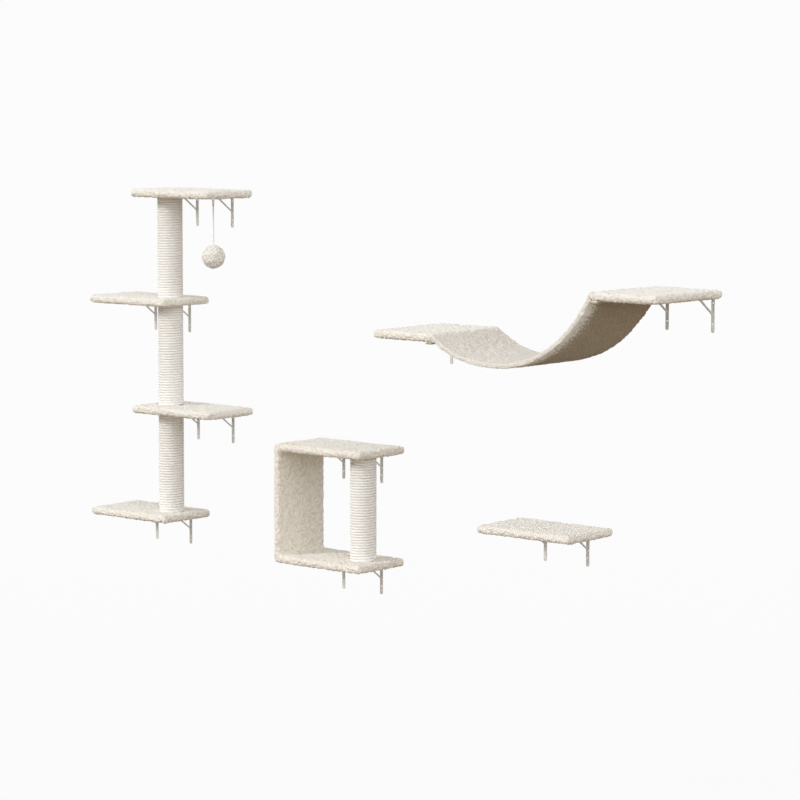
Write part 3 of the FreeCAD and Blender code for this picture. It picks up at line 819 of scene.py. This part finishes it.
class CATTREE_OT_sling(bpy.types.Operator):
    """Hang the plush sling between the two bridge shelves"""

    bl_idname = "cattree.sling"
    bl_label = "Plush sling"

    def execute(self, context):
        look = context.scene.cattree_plush
        sling = self.copied_node(context)
        self.meet_shelves(sling)
        even_skin(sling, look.grain * SLING_GRAIN)
        modify(sling, "SMOOTH", factor=0.5, iterations=8)
        self.mark_underside(sling)
        size, height = look.curl_size * SLING_CURL, look.curl_height * SLING_CURL
        raise_pile(sling, size, height, SLING_SEED, wave=SLING_WAVE)
        carry(sling, "sling_fabric", "bridge_sling", material=sling_material(look))
        return {"FINISHED"}

    def copied_node(self, context):
        """A free copy of the sling's CAD node, with its loose triangles merged."""
        node = frame["nodes"]["bridge_sling"]
        sling = node.copy()
        sling.data = node.data.copy()
        sling.parent = None
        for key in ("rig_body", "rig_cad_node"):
            del sling[key]
        context.scene.collection.objects.link(sling)
        sling.name = "plush_sling"
        edit(sling, "VERT")
        bpy.ops.mesh.select_all(action="SELECT")
        bpy.ops.mesh.remove_doubles(threshold=SAME_SPOT)
        done()
        return sling

    def meet_shelves(self, sling):
        """Pushes the sling's two ends a little into the shelves' rounded edges, so no gap shows."""
        at_shelf, above_bottom = 0.0005, 0.001
        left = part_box("bridge_lower_cover")
        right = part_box("bridge_upper_cover")
        for vertex in sling.data.vertices:
            x, z = vertex.co.x, vertex.co.z
            if abs(x - left[1].x) < at_shelf and z > left[0].z + above_bottom:
                vertex.co.x -= SLING_TUCK
            if abs(x - right[0].x) < at_shelf and z > right[0].z + above_bottom:
                vertex.co.x += SLING_TUCK

    def mark_underside(self, sling):
        """Keeps, for the material, where the sling faces down, which it colours dark brown, and how near
        the front hem, where it paints a highlight.
        """
        steepness, start = 3, 0.2
        mesh = sling.data
        front = min(vertex.co.y for vertex in mesh.vertices)
        normals = [vertex.normal.copy() for vertex in mesh.vertices]
        under = mesh.attributes.new("under", "FLOAT", "POINT")
        hem = mesh.attributes.new("hem", "FLOAT", "POINT")
        for vertex, normal, below, near in zip(mesh.vertices, normals, under.data, hem.data):
            below.value = min(max(-normal.z * steepness - start, 0), 1)
            near.value = min(max(1 - (vertex.co.y - front) / HEM_BAND, 0), 1)


# ---------------- rope


def wound_rope(name, node, look):
    """Rope wound in close turns up a post, made by screwing one round section up the post's axis.

    Its first and last turns run out flat against the shelves, as a pressed rope end does.
    """
    out_pitch, up_pitch = 45, 30
    low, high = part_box(node)
    axis = (low + high) / 2
    pitch = (high.z - low.z) / look.turns
    bpy.ops.mesh.primitive_circle_add(
        vertices=ROPE_SIDES, radius=1, location=(axis.x, axis.y, low.z), rotation=(math.pi / 2, 0, 0)
    )
    rope = bpy.context.view_layer.objects.active
    rope.name = name
    rope.scale = (ROPE_HALF_DEPTH, pitch / 2, 1)
    bpy.ops.object.transform_apply(location=False, rotation=True, scale=True)
    rope.data.transform(Matrix.Translation((look.radius, 0, -pitch / 2)))
    modify(
        rope,
        "SCREW",
        angle=2 * math.pi,
        screw_offset=pitch,
        iterations=look.turns + 1,
        steps=ROPE_STEPS,
        render_steps=ROPE_STEPS,
        use_smooth_shade=True,
        use_merge_vertices=False,
    )
    lay_map(rope.data)
    edit(rope, "EDGE")
    bpy.ops.mesh.select_non_manifold()
    bpy.ops.mesh.fill()
    face_outwards()
    done()
    settle(rope)
    for vertex in rope.data.vertices:
        out = Vector((vertex.co.x - axis.x, vertex.co.y - axis.y, 0)).normalized()
        vertex.co += out * noise.noise(vertex.co * out_pitch) * ROPE_UNEVEN
        sway = noise.noise(vertex.co * up_pitch + ALONG_X) * ROPE_UNEVEN
        vertex.co.z = min(max(vertex.co.z + sway, low.z), high.z)
    return rope


def lay_map(mesh):
    """A UV map with U along the rope, in strands, and V once round it.

    It takes the place of the circle's own map, which would stay the active one.
    """
    while mesh.uv_layers:
        mesh.uv_layers.remove(mesh.uv_layers[0])
    uv = mesh.uv_layers.new(name="lay")
    for face in mesh.polygons:
        corners = [divmod(mesh.loops[i].vertex_index, ROPE_SIDES) for i in face.loop_indices]
        wraps = max(side for step, side in corners) - min(side for step, side in corners) > 1
        for i, (step, side) in zip(face.loop_indices, corners):
            around = side + ROPE_SIDES if wraps and side == 0 else side
            uv.data[i].uv = (step * 3 * ROPE_LAYS / ROPE_STEPS, around / ROPE_SIDES)


class CATTREE_OT_ropes(bpy.types.Operator):
    """Wind rope round the four posts"""

    bl_idname = "cattree.ropes"
    bl_label = "Rope on the posts"

    def execute(self, context):
        look = context.scene.cattree_rope
        material = rope_material("post rope", look.colour)
        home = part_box(POSTS[0])[0]
        pattern = wound_rope("rope_pattern", POSTS[0], look)
        for node in POSTS:
            rope = copied(pattern, node.replace("core", "rope"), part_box(node)[0] - home)
            carry(rope, "rope", "post_ropes", material=material)
        bpy.data.objects.remove(pattern)
        return {"FINISHED"}


# ---------------- toy


class CATTREE_OT_toy(bpy.types.Operator):
    """Hang the plush ball by its cord and loop from the screw eye"""

    bl_idname = "cattree.toy"
    bl_label = "Hanging ball"

    def execute(self, context):
        look = context.scene.cattree_toy
        cord_white = rope_material("toy cord", look.ball_colour, strands=30.0, relief=0.0004)
        knot_white = rope_material("knot cord", look.ball_colour, strands=9.0, relief=0.0002)
        ball = self.ball(look)
        self.cord(look, cord_white, ball)
        self.loop(knot_white)
        self.knot(knot_white)
        self.eye()
        return {"FINISHED"}

    def ball(self, look):
        low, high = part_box("toy_ball")
        bpy.ops.mesh.primitive_ico_sphere_add(
            subdivisions=7, radius=(high.z - low.z) / 2, location=(low + high) / 2
        )
        ball = named("plush_ball")
        only(ball)
        bpy.ops.object.shade_smooth()
        raise_pile(ball, BALL_CURL_SIZE, BALL_CURL_HEIGHT, BALL_SEED, wave=BALL_WAVE)
        # The ball's darker root colour between its tufts: partly its roots' tone, partly painted shade.
        root = tinted(look.ball_colour, 0.78, 0.74, 0.68)
        material = plush_material("ball plush", look.ball_colour, root, curls=600.0, fibres=1200.0)
        carry(ball, "ball_plush", "toy_ball", body="toy", material=material)
        return ball

    def cord(self, look, material, ball):
        curve = bpy.data.curves.new("toy_cord_line", "CURVE")
        curve.dimensions = "3D"
        spline = curve.splines.new("NURBS")
        spline.points.add(len(CORD_ROUTE) - 1)
        for point, spot in zip(spline.points, CORD_ROUTE):
            point.co = (*spot, 1)
        spline.order_u = 3
        spline.use_endpoint_u = True
        spline.resolution_u = 12
        curve.bevel_depth = look.cord_diameter / 2
        curve.bevel_resolution = 4
        curve.use_fill_caps = True
        curve.materials.append(material)
        cord = bpy.data.objects.new("toy_cord_hanging", curve)
        bpy.context.scene.collection.objects.link(cord)
        carry(cord, "toy_cord", "toy_cord", body="toy")

    def loop(self, material):
        """A closed loop of cord, thicker where its ends are spliced, on the side away from the wall."""
        cord_share, splice_share, splice_power = 0.95, 0.3, 6
        uneven_share, uneven_pitch = 0.06, 900
        low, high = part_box("toy_cord_loop")
        middle = (low + high) / 2
        wire = (high.x - low.x) / 2
        radius = (high.z - low.z) / 2 - wire
        loop = ring("cord_loop", radius, wire * cord_share, middle, (0, math.pi / 2, 0), sides=12)
        for vertex in loop.data.vertices:
            out = Vector((0, vertex.co.y - middle.y, vertex.co.z - middle.z)).normalized()
            core = middle + out * radius
            uneven = uneven_share * noise.noise(vertex.co * uneven_pitch)
            share = 1 + splice_share * max(-out.y, 0) ** splice_power + uneven
            vertex.co = core + (vertex.co - core) * share
        smooth(loop)
        carry(loop, "toy_cord", "toy_cord_loop", body="toy_loop", material=material)

    def knot(self, material):
        """The cord's own eye round the loop, with three turns of whipping below it."""
        eye_rise, eye_radius, eye_cord = 0.0018, 0.0028, 0.001
        turn_drop, turn_step, turn_radius, turn_cord = 0.0026, 0.0021, 0.0025, 0.0012
        lean, tilt = 0.12, 0.1
        x, y, top = CORD_ROUTE[0]
        spot, facing = (x, y, top + eye_rise), (math.pi / 2, 0, 0)
        rings = [ring("knot_turn", eye_radius, eye_cord, spot, facing, steps=28)]
        for i in range(3):
            spot, facing = (x, y, top - turn_drop - turn_step * i), (lean * i - lean, tilt, 0)
            rings.append(ring("knot_turn", turn_radius, turn_cord, spot, facing, steps=28))
        knot = join(rings, "cord_knot")
        smooth(knot, 60)
        carry(knot, "toy_cord", body="toy", material=material)

    def eye(self):
        """A ring of wire on a shank that goes up into the shelf."""
        wire = 0.0009
        low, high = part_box("toy_screw_eye")
        middle = (low + high) / 2
        radius = (high.x - low.x) / 2 - wire
        ring_z = low.z + wire + radius
        eye = ring("eye_ring", radius, wire, (middle.x, middle.y, ring_z), (math.pi / 2, 0, 0))
        foot = ring_z + radius
        shank_spot = (middle.x, middle.y, (high.z + foot) / 2)
        shank = rod("eye_shank", wire, high.z - foot, shank_spot, sides=12)
        screw_eye = join([eye, shank], "screw_eye")
        smooth(screw_eye)
        plated = metal_material("plated steel", (0.62, 0.62, 0.61), metallic=1.0, roughness=0.28)
        carry(screw_eye, "plated_steel", "toy_screw_eye", material=plated)


# ---------------- metal and wood


def bent_strap(look):
    """The strap: a section pulled up the wall, turned over by a spin and pulled out under the shelf."""
    bpy.ops.mesh.primitive_plane_add(size=1, location=(0, -look.strap_thick / 2, -LEG))
    bpy.context.view_layer.objects.active.scale = (look.strap_width, look.strap_thick, 1)
    strap = named("strap")
    edit(strap, "FACE")
    bpy.ops.mesh.select_all(action="SELECT")
    bpy.ops.mesh.extrude_region_move(TRANSFORM_OT_translate={"value": (0, 0, LEG - BEND)})
    bpy.ops.mesh.spin(steps=6, angle=math.pi / 2, center=(0, -BEND, -BEND), axis=(-1, 0, 0))
    bpy.ops.mesh.extrude_region_move(TRANSFORM_OT_translate={"value": (0, BEND - ARM, 0)})
    bpy.ops.mesh.select_all(action="SELECT")
    bpy.ops.mesh.remove_doubles(threshold=SAME_SPOT)
    bpy.ops.mesh.select_all(action="DESELECT")
    bpy.ops.mesh.select_interior_faces()
    bpy.ops.mesh.delete(type="FACE")
    face_outwards()
    done()
    across = look.strap_width / 2
    nearly = 1e-5

    def at_end(a, b):
        on_side = abs(a.x - b.x) < SAME_SPOT and abs(abs(a.x) - across) < nearly
        return on_side and (max(a.z, b.z) < nearly - LEG or max(a.y, b.y) < nearly - ARM)

    round_edges(strap, at_end, across * 0.9, segments=6)
    return strap


def drill(piece, radius, spot, rotation):
    """Cuts a round screw hole right through a piece."""
    through = rod("drill", radius, depth=0.02, location=spot, rotation=rotation, sides=28)
    modify(piece, "BOOLEAN", operation="DIFFERENCE", solver="EXACT", object=through)
    bpy.data.objects.remove(through)


def brace_bar(look):
    """The diagonal bar with a bent tab at each end, lying on the leg and on the arm."""
    inner = -look.strap_thick
    outer = inner - BRACE_THICK
    slant = BRACE_THICK * 0.4
    corners = (
        (inner, -(BRACE_DROP + BRACE_LEG_TAB)),
        (outer, -(BRACE_DROP + BRACE_LEG_TAB)),
        (outer, -(BRACE_DROP + slant)),
        (-(BRACE_REACH + slant), outer),
        (-(BRACE_REACH + BRACE_ARM_TAB), outer),
        (-(BRACE_REACH + BRACE_ARM_TAB), inner),
        (-(BRACE_REACH - slant), inner),
        (inner, -(BRACE_DROP - slant)),
    )
    return outline_slab("brace", corners, -BRACE_WIDTH / 2, BRACE_WIDTH / 2, ALONG_X)


def dome_head(name, radius, height, spot, rotation=(0, 0, 0)):
    """A small round head of a rivet or screw."""
    head = rod(name, radius, height, spot, rotation, sides=16)
    soften(head, width=height * 0.6, segments=3, angle=50)
    return head


def whole_bracket(look):
    """One bracket with its corner at the origin: strap, brace, rivet and the two screws in its arm."""
    facing = (math.pi / 2, 0, 0)
    strap = bent_strap(look)
    for drop in SCREW_HOLES:
        drill(strap, SCREW_HOLE_RADIUS, (0, -look.strap_thick / 2, -drop), facing)
    soften(strap, width=0.0003, segments=2, angle=35)
    brace = brace_bar(look)
    soften(brace, width=0.0004, segments=2, angle=25)
    brace_face = look.strap_thick + BRACE_THICK
    heads = [dome_head("leg_rivet", *RIVET_HEAD, (0, -brace_face, -LEG_RIVET), facing)]
    for out in ARM_SCREWS:
        heads.append(dome_head("arm_screw", *ARM_SCREW_HEAD, (0, -out, -look.strap_thick)))
    whole = join([strap, brace, *heads], "bracket")
    smooth(whole, 30)
    return whole


class CATTREE_OT_brackets(bpy.types.Operator):
    """Put a braced strap bracket in each of the eighteen places"""

    bl_idname = "cattree.brackets"
    bl_label = "Brackets"

    def execute(self, context):
        look = context.scene.cattree_metal
        pattern = whole_bracket(look)
        paint = metal_material("bracket paint", look.paint_colour, metallic=0.0, roughness=0.38)
        for node in sorted(frame["nodes"]):
            if "bracket" not in node:
                continue
            low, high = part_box(node)
            bracket = copied(pattern, "strap_" + node, Vector(((low.x + high.x) / 2, 0, high.z)))
            carry(bracket, "bracket_paint", node, material=paint)
        bpy.data.objects.remove(pattern)
        return {"FINISHED"}


class CATTREE_OT_battens(bpy.types.Operator):
    """Screw the two battens that clamp the sling under its shelves"""

    bl_idname = "cattree.battens"
    bl_label = "Sling battens"

    def execute(self, context):
        screws_a_batten, first_screw, screw_step = 5, 0.08, 0.21
        wood = wood_material("batten stain", (0.50, 0.43, 0.33), (0.39, 0.32, 0.23), "Y")
        zinc = metal_material("screw zinc", (0.66, 0.66, 0.64), metallic=1.0, roughness=0.3)
        for node in BATTENS:
            low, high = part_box(node)
            batten = cuboid("wooden_" + node, low, high)
            soften(batten, width=0.0009, segments=3, angle=30)
            smooth(batten)
            carry(batten, "wood", node, material=wood)
            heads = []
            for i in range(screws_a_batten):
                y = low.y + (high.y - low.y) * (first_screw + screw_step * i)
                spot = ((low.x + high.x) / 2, y, low.z)
                heads.append(dome_head("batten_screw", *BATTEN_SCREW_HEAD, spot))
            screws = join(heads, node + "_screws")
            smooth(screws)
            carry(screws, "plated_steel", material=zinc)
        return {"FINISHED"}


class CATTREE_OT_inside(bpy.types.Operator):
    """Give the boards, posts, keys and bolts inside their own finishes"""

    bl_idname = "cattree.inside"
    bl_label = "Boards, posts and bolts"

    def execute(self, context):
        board = wood_material("pine board", (0.68, 0.52, 0.34), (0.52, 0.37, 0.21), "X")
        pole = wood_material("pole wood", (0.70, 0.55, 0.37), (0.55, 0.40, 0.24), "Z")
        steel = metal_material("zinc bolt", (0.60, 0.60, 0.58), metallic=1.0, roughness=0.32)
        finishes = {"board": board, "keys": board, "core": pole, "studs": steel, "bolts": steel}
        for name, node in frame["nodes"].items():
            for word, material in finishes.items():
                if name.endswith(word) or f"_{word}_" in name:
                    node.data.materials.clear()
                    node.data.materials.append(material)
        return {"FINISHED"}


# ---------------- stage


def white_for_camera(nodes, dim_shader):
    """Shows white to what looks straight at a surface, and the dim shader to all other light."""
    path = nodes.add("ShaderNodeLightPath")
    seen = nodes.math("MAXIMUM", path.outputs["Is Camera Ray"], path.outputs["Is Glossy Ray"])
    seen = nodes.math("MAXIMUM", seen, path.outputs["Is Transmission Ray"])
    white = nodes.add("ShaderNodeEmission", {"Color": (1, 1, 1, 1), "Strength": WHITE_SEEN})
    return nodes.add("ShaderNodeMixShader", {0: seen, 1: dim_shader, 2: white.outputs[0]}).outputs[0]


class CATTREE_OT_stage(bpy.types.Operator):
    """Set the floor, the world, the lamps and the camera"""

    bl_idname = "cattree.stage"
    bl_label = "Stage"

    def execute(self, context):
        scene = context.scene
        scene.view_settings.view_transform = "Standard"
        self.floor()
        self.world(scene)
        self.lamp("key_lamp", (-0.50, -0.75, 0.41), strength=1.5, spread=12)
        self.lamp("fill_lamp", (0.78, -0.56, 0.27), strength=1.65, spread=80)
        self.camera(scene)
        return {"FINISHED"}

    def floor(self):
        """A pale floor that shows the object's shadow near it and is clear when seen from below."""
        shadow_share, shadow_full, shadow_gone = 0.1, 3.0, 8.0
        bpy.ops.mesh.primitive_plane_add(size=120, location=(1, 0, FLOOR_HEIGHT))
        floor = bpy.context.view_layer.objects.active
        floor.name = "floor"
        material = bpy.data.materials.new("pale floor")
        nodes = bare_nodes(material)
        dim = nodes.add("ShaderNodeBsdfDiffuse", {"Color": (0.33, 0.275, 0.205, 1)})
        shown = white_for_camera(nodes, dim.outputs[0])
        far = nodes.add("ShaderNodeVectorMath", {0: nodes.place()}, operation="LENGTH").outputs["Value"]
        limits = {"From Min": shadow_full, "From Max": shadow_gone, "To Min": shadow_share, "To Max": 0.0}
        near = nodes.add("ShaderNodeMapRange", {"Value": far, **limits})
        path = nodes.add("ShaderNodeLightPath").outputs["Is Camera Ray"]
        share = nodes.math("MULTIPLY", near.outputs[0], path)
        pale = nodes.add("ShaderNodeBsdfDiffuse", {"Color": (1.0, 1.0, 1.0, 1)})
        both = nodes.add("ShaderNodeMixShader", {0: share, 1: shown, 2: pale.outputs[0]})
        beneath = nodes.add("ShaderNodeNewGeometry").outputs["Backfacing"]
        clear = nodes.add("ShaderNodeBsdfTransparent")
        surface = nodes.add("ShaderNodeMixShader", {0: beneath, 1: both.outputs[0], 2: clear.outputs[0]})
        nodes.add("ShaderNodeOutputMaterial", {"Surface": surface.outputs[0]})
        floor.data.materials.append(material)

    def world(self, scene):
        """A soft even room, a little warmer and darker below."""
        below, above = (0.54, 0.52, 0.49, 1), (0.55, 0.55, 0.55, 1)
        world = bpy.data.worlds.new("soft room")
        nodes = bare_nodes(world)
        way = nodes.add("ShaderNodeTexCoord").outputs["Generated"]
        height = nodes.add("ShaderNodeSeparateXYZ", {"Vector": way}).outputs[2]
        share = nodes.add("ShaderNodeMapRange", {"Value": height, "From Min": -0.3, "From Max": 0.7})
        sky = nodes.mix(share.outputs[0], below, above)
        dim = nodes.add("ShaderNodeBackground", {"Color": sky, "Strength": 1.0})
        nodes.add("ShaderNodeOutputWorld", {"Surface": white_for_camera(nodes, dim.outputs[0])})
        scene.world = world

    def lamp(self, name, towards, strength, spread):
        """A sun lamp that stands in the given direction, with its spread in degrees."""
        data = bpy.data.lights.new(name, "SUN")
        data.energy = strength
        data.angle = math.radians(spread)
        lamp = bpy.data.objects.new(name, data)
        bpy.context.scene.collection.objects.link(lamp)
        lamp.rotation_euler = Vector(towards).to_track_quat("Z", "Y").to_euler()

    def camera(self, scene):
        place = (6.9258, -7.0005, 1.494)
        azimuth, tilt, roll = math.radians(40.2456), math.radians(6.2046), 0.00225
        data = bpy.data.cameras.new("camera")
        data.sensor_width = 36
        data.lens = 131.86
        data.clip_end = 200
        camera = bpy.data.objects.new("camera", data)
        scene.collection.objects.link(camera)
        turn = Matrix.Rotation(azimuth, 4, "Z") @ Matrix.Rotation(math.pi / 2 - tilt, 4, "X")
        camera.matrix_world = Matrix.Translation(place) @ turn @ Matrix.Rotation(roll, 4, "Z")
        scene.camera = camera


# ---------------- panel and run

STEPS = (
    CATTREE_OT_toy,
    CATTREE_OT_shelves,
    CATTREE_OT_condo,
    CATTREE_OT_sling,
    CATTREE_OT_ropes,
    CATTREE_OT_brackets,
    CATTREE_OT_battens,
    CATTREE_OT_inside,
    CATTREE_OT_stage,
)


class CATTREE_PT_panel(bpy.types.Panel):
    """Lists the cat tree's steps and sizes."""

    bl_idname = "CATTREE_PT_panel"
    bl_label = "Cat Tree"
    bl_space_type = "VIEW_3D"
    bl_region_type = "UI"
    bl_category = "Cat Tree"

    def draw(self, context):
        for step in STEPS:
            self.layout.operator(step.bl_idname)
        for look in LOOKS:
            box = self.layout.box()
            for name in LOOKS[look].__annotations__:
                box.prop(getattr(context.scene, look), name)


def register():
    for look, kind in LOOKS.items():
        bpy.utils.register_class(kind)
        setattr(bpy.types.Scene, look, PointerProperty(type=kind))
    for kind in (*STEPS, CATTREE_PT_panel):
        bpy.utils.register_class(kind)


def unregister():
    for kind in (CATTREE_PT_panel, *reversed(STEPS)):
        bpy.utils.unregister_class(kind)
    for look, kind in LOOKS.items():
        delattr(bpy.types.Scene, look)
        bpy.utils.unregister_class(kind)


def main():
    register()
    for step in STEPS:
        group, name = step.bl_idname.split(".")
        getattr(getattr(bpy.ops, group), name)()


if __name__ == "__main__":
    main()
